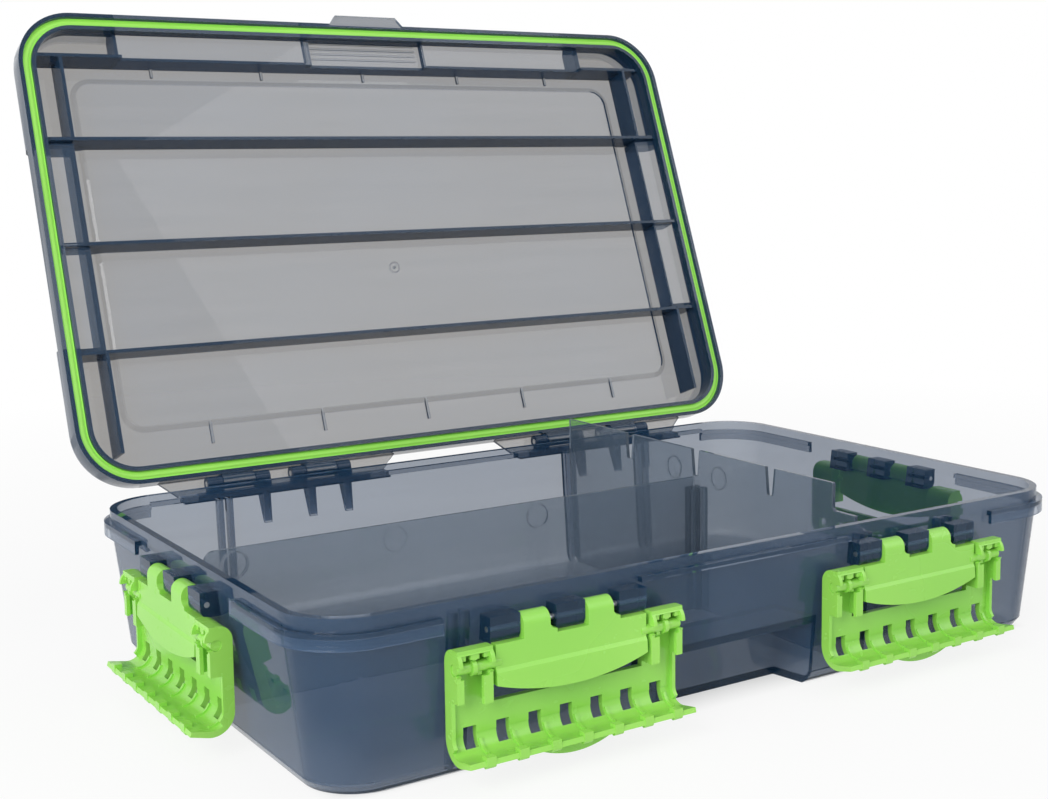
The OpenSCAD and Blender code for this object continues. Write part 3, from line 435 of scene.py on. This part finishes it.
def box_group():
    """Mask of the space in a box and in its mirror image over X."""
    outer_edge = 0.1 * MM
    tree, given, out = new_group(
        "Box mask",
        [("Vector", "vector", None), ("Middle", "vector", (0.0, 0.0, 0.0)),
         ("Half size", "vector", (0.0, 0.0, 0.0)), ("Inner edge", "value", -outer_edge)],
        ["Mask"])
    place = put(tree, "ShaderNodeSeparateXYZ", (-3, 0))
    feed(tree, place, {0: given["Vector"]})
    folded = put(tree, "ShaderNodeCombineXYZ", (-1, 0))
    feed(tree, folded, {0: maths(tree, (-2, 0), "ABSOLUTE", place.outputs[0]), 1: place.outputs[1],
                        2: place.outputs[2]})
    away = vectors(tree, (0, 0), "SUBTRACT", folded.outputs[0], given["Middle"])
    past = vectors(tree, (2, 0), "SUBTRACT", vectors(tree, (1, 0), "ABSOLUTE", away), given["Half size"])
    over = put(tree, "ShaderNodeSeparateXYZ", (3, 0))
    feed(tree, over, {0: past})
    most = maths(tree, (3, 1), "MAXIMUM", maths(tree, (3, 2), "MAXIMUM", over.outputs[0], over.outputs[1]),
                 over.outputs[2])
    feed(tree, out, {"Mask": remap(tree, (4, 1), most, given["Inner edge"], outer_edge, 1.0, 0.0)})
    return tree


EFFECTS = {"Moulded face": moulded_group, "Flow lines": flow_group, "Hairline scuffs": scuff_group,
           "Standing faces": standing_group, "Ring marks": ring_group, "Box mask": box_group}


def coordinates_of(tree):
    """Outputs of a material's one coordinates node."""
    known = next((n for n in tree.nodes if n.type == "TEX_COORD"), None)
    return (known or put(tree, "ShaderNodeTexCoord", (-6, 0))).outputs


def effect(tree, at, name, values=()):
    """Places a shared effect with its values, and feeds it the object's own place or normal."""
    node = put(tree, "ShaderNodeGroup", at)
    node.node_tree = bpy.data.node_groups.get(name) or EFFECTS[name]()
    known = coordinates_of(tree)
    if "Vector" in node.inputs:
        feed(tree, node, {"Vector": known["Object"]})
    else:
        feed(tree, node, {"Normal": known["Normal"]})
    feed(tree, node, dict(values))
    return node.outputs


# Materials


def material(name):
    """A new material with only an output; returns it, its tree and the output."""
    made = bpy.data.materials.new(name)
    made.use_nodes = True
    made.node_tree.nodes.clear()
    return made, made.node_tree, put(made.node_tree, "ShaderNodeOutputMaterial", (8, 0))


def scaled(values, share):
    """A colour or a size times a share."""
    return [value * share for value in values]


def smoke_material(name, surface, density, haze, haze_colour, gloss, plate=None, marks=(), thick=()):
    """Clear tinted plastic: glass with depth colour, mixed with a little scattered light. Faces that stand on
    a plate, given by its normal, are darker by painted shade, and so is what lies in the thick boxes, each a
    middle, a half size and the colour of its painted shade. Each mark is the shade and the sockets of a row
    of round witness marks."""
    look = bpy.context.scene.smoke_finish
    made, tree, out = material(name)
    face = effect(tree, (-4, 0), "Moulded face", {"Grain": 900.0, "Gloss": gloss, "Spread": gloss * 0.5})
    flow = effect(tree, (-4, 2), "Flow lines")
    scuffs = effect(tree, (-4, 4), "Hairline scuffs", {"Amount": 0.06})
    tint = blend(tree, (-1, 0), flow["Lines"], surface, scaled(surface, FLOW_TONE))
    # Painted shade: what lies in each thick box is tinted toward that box's darker colour
    for column, (middle, half, colour) in enumerate(thick):
        box = effect(tree, (-2, -4 - column), "Box mask", {"Middle": middle, "Half size": half})
        tint = blend(tree, (column, -4), box["Mask"], tint, colour)
    # Painted shade: faces that stand on the plate are tinted toward the dark rib shade colour
    if plate is not None:
        standing = effect(tree, (-2, -2), "Standing faces", {"Plate": plate})
        tint = blend(tree, (0, -2), standing["Mask"], tint, look.rib_shade_and_mark_colour)
    normal = bump(tree, (0, 2), face["Height"], CLEAR_SKIN, 0.5)
    for row, (shade, sockets) in enumerate(marks, 6):
        ring = effect(tree, (-2, row), "Ring marks", sockets)
        normal = bump(tree, (1, row), ring["Mask"], MARK_HEIGHT, normal=normal)
        shaded = maths(tree, (0, row), "MULTIPLY", ring["Mask"], shade)
        tint = blend(tree, (2, row), shaded, tint, look.rib_shade_and_mark_colour)

    clear = put(tree, "ShaderNodeBsdfPrincipled", (2, 0))
    feed(tree, clear, {"Base Color": tint, "Normal": normal, "Transmission Weight": 1.0, "IOR": CLEAR_IOR,
                       "Roughness": maths(tree, (-2, 1), "ADD", face["Roughness"], scuffs["Mask"])})
    cloud = put(tree, "ShaderNodeBsdfPrincipled", (2, 4))
    dull = blend(tree, (-1, 4), face["Tone"], haze_colour, scaled(haze_colour, HAZE_TONE))
    feed(tree, cloud, {"Base Color": dull, "Roughness": 0.5, "Specular IOR Level": 0.1})
    seen = mixed_shader(tree, (4, 0), haze, clear, cloud)

    straight = put(tree, "ShaderNodeBsdfTransparent", (4, 2))
    feed(tree, straight, {"Color": look.passing})
    path = put(tree, "ShaderNodeLightPath", (4, -3))
    for column, ray in enumerate(("Is Shadow Ray", "Is Diffuse Ray"), 5):
        seen = mixed_shader(tree, (column, 0), path.outputs[ray], seen, straight)
    depth = put(tree, "ShaderNodeVolumeAbsorption", (4, 3))
    feed(tree, depth, {"Color": look.depth_colour, "Density": density})
    feed(tree, out, {"Surface": seen.outputs[0], "Volume": depth.outputs[0]})
    return made


def solid_material(name, colour, deep, face_values, scuffed, skin, strength, body_values):
    """Opaque plastic, rubber or steel with a fine skin, slow tone and a few scuffs."""
    made, tree, out = material(name)
    face = effect(tree, (-4, 0), "Moulded face", face_values)
    scuffs = effect(tree, (-4, 3), "Hairline scuffs", {"Amount": scuffed})
    body = put(tree, "ShaderNodeBsdfPrincipled", (2, 0))
    feed(tree, body, {"Base Color": blend(tree, (-1, 0), face["Tone"], colour, deep),
                      "Roughness": maths(tree, (-1, 2), "ADD", face["Roughness"], scuffs["Mask"]),
                      "Normal": bump(tree, (0, 2), face["Height"], skin, strength), **body_values})
    feed(tree, out, {"Surface": body.outputs[0]})
    return made


def satin_material(name, look, grain, skin):
    """Satin plastic or rubber that lets a little light in."""
    return solid_material(
        name, look.colour, look.deep, {"Grain": grain, "Gloss": look.gloss, "Spread": 0.05}, 0.16, skin, 0.5,
        {"Subsurface Weight": 0.12, "Subsurface Radius": (0.7, 1.0, 0.25), "Subsurface Scale": 1.2 * MM})


def steel_material(look):
    """Drawn steel wire."""
    return solid_material("drawn_steel", look.colour, scaled(look.colour, 0.85),
                          {"Grain": 3200.0, "Gloss": look.gloss}, 0.25, STEEL_SKIN, 1.0, {"Metallic": 1.0})


def seen_rays(tree, at):
    """A factor that is 1 for camera, mirror and see-through rays."""
    path = put(tree, "ShaderNodeLightPath", at).outputs
    shown = maths(tree, (at[0] + 1, at[1]), "MAXIMUM", path["Is Camera Ray"], path["Is Glossy Ray"])
    return maths(tree, (at[0] + 2, at[1]), "MAXIMUM", shown, path["Is Transmission Ray"])


def floor_material(look):
    """Pale floor that keeps the shadow and fades to plain white away from the box."""
    made, tree, out = material("studio_floor")
    under = effect(tree, (-3, 5), "Box mask", {"Half size": UNDER_BOX, "Inner edge": UNDER_FADE})
    far = vectors(tree, (-4, 3), "LENGTH", coordinates_of(tree)["Object"])
    open_white = remap(tree, (-3, 3), far, *FLOOR_FADE, look.floor_white, 1.0)
    shaded = remap(tree, (-2, 5), under["Mask"], 0.0, 1.0, 1.0, look.under_white)
    white = maths(tree, (-1, 3), "MULTIPLY", open_white, shaded)
    paint = put(tree, "ShaderNodeBsdfDiffuse", (1, 2))
    feed(tree, paint, {"Color": look.floor_colour})
    glow = put(tree, "ShaderNodeEmission", (1, 4))
    share = maths(tree, (0, 0), "MULTIPLY", seen_rays(tree, (-4, 0)), white)
    feed(tree, out, {"Surface": mixed_shader(tree, (3, 0), share, paint, glow).outputs[0]})
    return made


# Mesh helpers


def smooth_tree():
    """Modifier tree that joins the faces' seams and shades curved faces smooth, with sharp corners kept."""
    name = "Smooth by corner"
    if name in bpy.data.node_groups:
        return bpy.data.node_groups[name]
    tree = bpy.data.node_groups.new(name, "GeometryNodeTree")
    for way in ("INPUT", "OUTPUT"):
        tree.interface.new_socket(name="Geometry", in_out=way, socket_type="NodeSocketGeometry")
    into = put(tree, "NodeGroupInput", (-3, 0))
    plain = put(tree, "GeometryNodeRemoveAttribute", (-2, 0))
    weld = put(tree, "GeometryNodeMergeByDistance", (-1, 0))
    faces = put(tree, "GeometryNodeSetShadeSmooth", (1, 0), domain="FACE")
    edges = put(tree, "GeometryNodeSetShadeSmooth", (3, 0), domain="EDGE")
    out = put(tree, "NodeGroupOutput", (4, 0))
    chain = (into, plain, weld, faces, edges, out)
    for before, after in zip(chain, chain[1:]):
        tree.links.new(before.outputs[0], after.inputs[0])
    angle = put(tree, "GeometryNodeInputMeshEdgeAngle", (0, 2))
    sharp = put(tree, "FunctionNodeCompare", (2, 2), data_type="FLOAT", operation="GREATER_THAN")
    feed(tree, plain, {"Name": "custom_normal"})
    feed(tree, weld, {"Distance": WELD})
    feed(tree, faces, {"Shade Smooth": True})
    feed(tree, sharp, {"A": angle.outputs["Unsigned Angle"], "B": SMOOTH_UNDER})
    feed(tree, edges, {"Selection": sharp.outputs["Result"], "Shade Smooth": False})
    return tree


def dress(node, finish, edge=0.0):
    """Gives a CAD node its finish and its softened shading, with rounded edges where edge isn't 0."""
    piece = NODES[node]
    if not piece.material_slots:
        piece.data.materials.append(finish)
    for place in piece.material_slots:
        place.material = finish
    shade = piece.modifiers.new("Smooth by corner", "NODES")
    shade.node_group = smooth_tree()
    if edge > 0:
        soft = piece.modifiers.new("Soft edges", "BEVEL")
        soft.width = edge
        soft.segments = 2
        soft.limit_method = "ANGLE"
        soft.angle_limit = ROUNDED_FROM
        soft.harden_normals = True


def new_piece(name, mesh_of, finish, body):
    """A piece from a bmesh that rides on a body."""
    data = bpy.data.meshes.new(name)
    mesh_of.to_mesh(data)
    mesh_of.free()
    data.materials.append(finish)
    piece = bpy.data.objects.new(name, data)
    bpy.context.scene.collection.objects.link(piece)
    for face in data.polygons:
        face.use_smooth = True
    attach(piece, body)
    return piece


def lid_opening():
    """Matrix that takes a point of the closed lid to where the lid stands open."""
    place = Vector(LID_HINGE["pos_m"])
    turn = Matrix.Rotation(-math.radians(LID_HINGE["range_deg"][0]), 4, Vector(LID_HINGE["axis"]))
    return Matrix.Translation(place) @ turn @ Matrix.Translation(-place)


def ring_path(half_x, low_y, high_y, radius, steps):
    """Points and outward directions round a rectangle with round corners."""
    path = []
    centres = ((half_x - radius, high_y - radius, 0), (radius - half_x, high_y - radius, 90),
               (radius - half_x, low_y + radius, 180), (half_x - radius, low_y + radius, 270))
    for cx, cy, start in centres:
        for k in range(steps + 1):
            turn = math.radians(start + 90 * k / steps)
            out = Vector((math.cos(turn), math.sin(turn), 0))
            path.append((Vector((cx, cy, 0)) + out * radius, out))
    return path


def seal_profile(half, root, face, look):
    """Outline across the ring from its root to its rounded face, as distances outward and heights."""
    turns = [math.radians(angle) for angle in CROWN_ANGLES]
    arc = [(look.crown_in * (1 - math.sin(a)), look.crown * (1 - math.cos(a))) for a in turns]
    side = [(half, root)] + [(half - a, face + look.crown - h * CROWN_ARC) for a, h in arc]
    side.append((half * CROWN_FLAT, face))
    return side + [(-a, h) for a, h in reversed(side)]


# Operators


class TACKLEBOX_OT_tray(Operator):
    """Finishes the tray in clear smoke plastic, with painted shade on its lugs and rear hinges"""

    bl_idname = "tacklebox.tray"
    bl_label = "Tray"

    def execute(self, context):
        look = context.scene.smoke_finish
        # Boxes of painted shade on the lugs and the rear hinges
        boxes = ((*FRONT_LUGS, look.lug_painted_shade), (*SIDE_LUGS, look.lug_painted_shade),
                 (*REAR_HINGES, look.hinge_painted_shade))
        thick = [(scaled(middle, MM), scaled(half, MM), colour) for middle, half, colour in boxes]
        clear = smoke_material("smoke_clear", look.surface, look.density, look.haze, look.haze_colour,
                               look.gloss, thick=thick)
        dress("base", clear, look.edge)
        return {"FINISHED"}


class TACKLEBOX_OT_lid(Operator):
    """Finishes the lid, with painted shade on its ribs, walls and edges, and adds the mark that the mould's
    gate leaves in its middle
    """

    bl_idname = "tacklebox.lid"
    bl_label = "Lid"

    def execute(self, context):
        look = context.scene.smoke_finish
        opening = lid_opening()
        along, up, plate = (Vector(axis) for axis in opening.to_3x3().col)
        gate = opening @ Vector(GATE_PLACE)
        place = {"Along": along, "Up": up, "First": gate.dot(along), "Height": gate.dot(up)}
        marks = [(shade, {**place, "Radius": radius}) for shade, radius in GATE_RINGS]
        # The plate's direction picks the standing faces that get painted shade
        clear = smoke_material("smoke_lid", look.lid_surface, look.density, look.haze, look.haze_colour,
                               look.gloss, plate, marks)
        dress("lid", clear, look.edge)
        return {"FINISHED"}


class TACKLEBOX_OT_seal(Operator):
    """Builds the rounded seal ring in the lid's channel"""

    bl_idname = "tacklebox.seal"
    bl_label = "Seal ring"

    def execute(self, context):
        look = context.scene.seal_finish
        finish = satin_material("seal_rubber", look, 1500.0, SEAL_SKIN)
        opening = lid_opening()
        closing = opening.inverted()
        corners = [closing @ v.co for v in NODES["lid_gasket"].data.vertices]
        half_x = max(c.x for c in corners)
        low_y, high_y = min(c.y for c in corners), max(c.y for c in corners)
        face, root = min(c.z for c in corners), max(c.z for c in corners)
        middle = (low_y + high_y) / 2
        nearest = min(abs(c.y - middle) for c in corners)
        inner = min(abs(c.x) for c in corners if abs(c.y - middle) < nearest + SAME_PLACE)
        half = (half_x - inner) / 2
        profile = seal_profile(half, root, face, look)
        made = bmesh.new()
        rings = []
        for point, out in ring_path(half_x - half, low_y + half, high_y - half, look.corner_r - half,
                                    look.corner_steps):
            rings.append([made.verts.new(opening @ (point + out * a + Vector((0, 0, h))))
                          for a, h in profile])
        count = len(profile)
        for ring, following in zip(rings, rings[1:] + rings[:1]):
            for k in range(count):
                j = (k + 1) % count
                made.faces.new((ring[k], following[k], following[j], ring[j]))
        bmesh.ops.recalc_face_normals(made, faces=made.faces)
        piece = new_piece("seal_ring", made, finish, "lid_assembly")
        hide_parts("lid_gasket")
        return {"FINISHED"}


class TACKLEBOX_OT_dividers(Operator):
    """Finishes both dividers in cloudier plastic, with the round marks of the mould's ejectors"""

    bl_idname = "tacklebox.dividers"
    bl_label = "Dividers"

    def execute(self, context):
        look = context.scene.smoke_finish
        rows = {
            "long_divider": {"Along": (1, 0, 0), "Pitch": 66.6 * MM, "First": -156 * MM, "Last": 2,
                             "Height": 55.5 * MM},
            "cross_divider": {"Along": (0, 1, 0), "Pitch": 31.5 * MM, "First": -15.75 * MM, "Last": 1,
                              "Height": 63.5 * MM},
        }
        shade, radius = EJECTOR_RING
        for node, row in rows.items():
            cloudy = smoke_material(f"smoke_{node}", look.surface, look.divider_density, look.divider_haze,
                                    look.divider_haze_colour, look.gloss * DIVIDER_ROUGHER,
                                    marks=[(shade, {**row, "Radius": radius})])
            dress(node, cloudy, look.edge)
        return {"FINISHED"}


class TACKLEBOX_OT_latches(Operator):
    """Finishes the four levers and hooks in satin lime plastic with soft edges"""

    bl_idname = "tacklebox.latches"
    bl_label = "Latches"

    def execute(self, context):
        look = context.scene.lime_finish
        lime = satin_material("lime_satin", look, 2600.0, LIME_SKIN)
        for latch in LATCHES:
            dress(f"{latch}_lever", lime, look.edge)
            dress(f"{latch}_hook", lime, look.edge)
        return {"FINISHED"}


class TACKLEBOX_OT_pins(Operator):
    """Finishes the hinge and lever pins in drawn steel"""

    bl_idname = "tacklebox.pins"
    bl_label = "Pins"

    def execute(self, context):
        steel = steel_material(context.scene.steel_finish)
        for pin in HINGE_PINS:
            dress(f"hinge_pin_{pin}", steel)
        for latch in LATCHES:
            dress(f"{latch}_pin", steel)
        return {"FINISHED"}


def add_floor(scene, look):
    """A large floor just under the box."""
    data = bpy.data.meshes.new("studio_floor")
    r = FLOOR_REACH
    data.from_pydata([(-r, -r, 0), (r, -r, 0), (r, r, 0), (-r, r, 0)], [], [(0, 1, 2, 3)])
    data.materials.append(floor_material(look))
    floor = bpy.data.objects.new("studio_floor", data)
    floor.location.z = -FLOOR_DROP
    scene.collection.objects.link(floor)


def add_world(scene, look):
    """Even light from all round, seen as plain white."""
    world = bpy.data.worlds.new("studio_world")
    scene.world = world
    world.use_nodes = True
    tree = world.node_tree
    tree.nodes.clear()
    light = put(tree, "ShaderNodeBackground", (1, 1))
    feed(tree, light, {"Color": WHITE, "Strength": look.sky})
    white = put(tree, "ShaderNodeBackground", (1, 2))
    feed(tree, white, {"Color": WHITE})
    mix = mixed_shader(tree, (3, 0), seen_rays(tree, (-3, 0)), light, white)
    feed(tree, put(tree, "ShaderNodeOutputWorld", (4, 0)), {"Surface": mix.outputs[0]})


def add_lamp(scene, name, place, size, power):
    """A square area lamp that looks at the box."""
    data = bpy.data.lights.new(name, "AREA")
    data.energy = power
    data.size = size
    lamp = bpy.data.objects.new(name, data)
    scene.collection.objects.link(lamp)
    lamp.location = place
    lamp.rotation_euler = (Vector(LAMP_AIM) - Vector(place)).to_track_quat("-Z", "Y").to_euler()


def add_camera(scene, look):
    """The camera, with its lens and shift, where the photograph was taken from."""
    camera = bpy.data.cameras.new("product_camera")
    camera.lens = look.lens
    camera.sensor_width = SENSOR_MM
    camera.shift_x = look.shift_x
    camera.shift_y = look.shift_y
    camera.clip_start = SEES_FROM
    seat = bpy.data.objects.new("product_camera", camera)
    scene.collection.objects.link(seat)
    turn = (Matrix.Rotation(-look.camera_yaw, 4, "Z")
            @ Matrix.Rotation(math.pi / 2 - look.camera_pitch, 4, "X")
            @ Matrix.Rotation(look.camera_roll, 4, "Z"))
    seat.matrix_world = Matrix.Translation(look.camera_place) @ turn
    scene.camera = seat


class TACKLEBOX_OT_stage(Operator):
    """Adds the floor, the lamps, the white background and the camera"""

    bl_idname = "tacklebox.stage"
    bl_label = "Stage"

    def execute(self, context):
        scene = context.scene
        look = scene.studio_look
        scene.view_settings.view_transform = "Standard"
        add_floor(scene, look)
        add_world(scene, look)
        add_lamp(scene, "key_lamp", KEY_PLACE, KEY_SIZE, look.key)
        add_lamp(scene, "fill_lamp", FILL_PLACE, FILL_SIZE, look.fill)
        add_camera(scene, look)
        return {"FINISHED"}


class TACKLEBOX_PT_panel(Panel):
    """Lists the steps that finish the box"""

    bl_idname = "TACKLEBOX_PT_panel"
    bl_label = "Tackle box"
    bl_space_type = "VIEW_3D"
    bl_region_type = "UI"
    bl_category = "Tackle box"

    def draw(self, context):
        for step in STEPS:
            self.layout.operator(step.bl_idname)


STEPS = (TACKLEBOX_OT_tray, TACKLEBOX_OT_lid, TACKLEBOX_OT_seal, TACKLEBOX_OT_dividers,
         TACKLEBOX_OT_latches, TACKLEBOX_OT_pins, TACKLEBOX_OT_stage)
LOOKS = {"smoke_finish": SmokeFinish, "lime_finish": LimeFinish, "seal_finish": SealFinish,
         "steel_finish": SteelFinish, "studio_look": StudioLook}


def register():
    """Registers the properties, the steps and the panel."""
    for made in (*LOOKS.values(), *STEPS, TACKLEBOX_PT_panel):
        bpy.utils.register_class(made)
    for name, made in LOOKS.items():
        setattr(bpy.types.Scene, name, PointerProperty(type=made))


def unregister():
    """Takes them out again."""
    for name in LOOKS:
        delattr(bpy.types.Scene, name)
    for made in reversed((*LOOKS.values(), *STEPS, TACKLEBOX_PT_panel)):
        bpy.utils.unregister_class(made)


def main():
    """Runs the steps in order."""
    register()
    for step in STEPS:
        area, name = step.bl_idname.split(".")
        getattr(getattr(bpy.ops, area), name)()


if __name__ == "__main__":
    main()
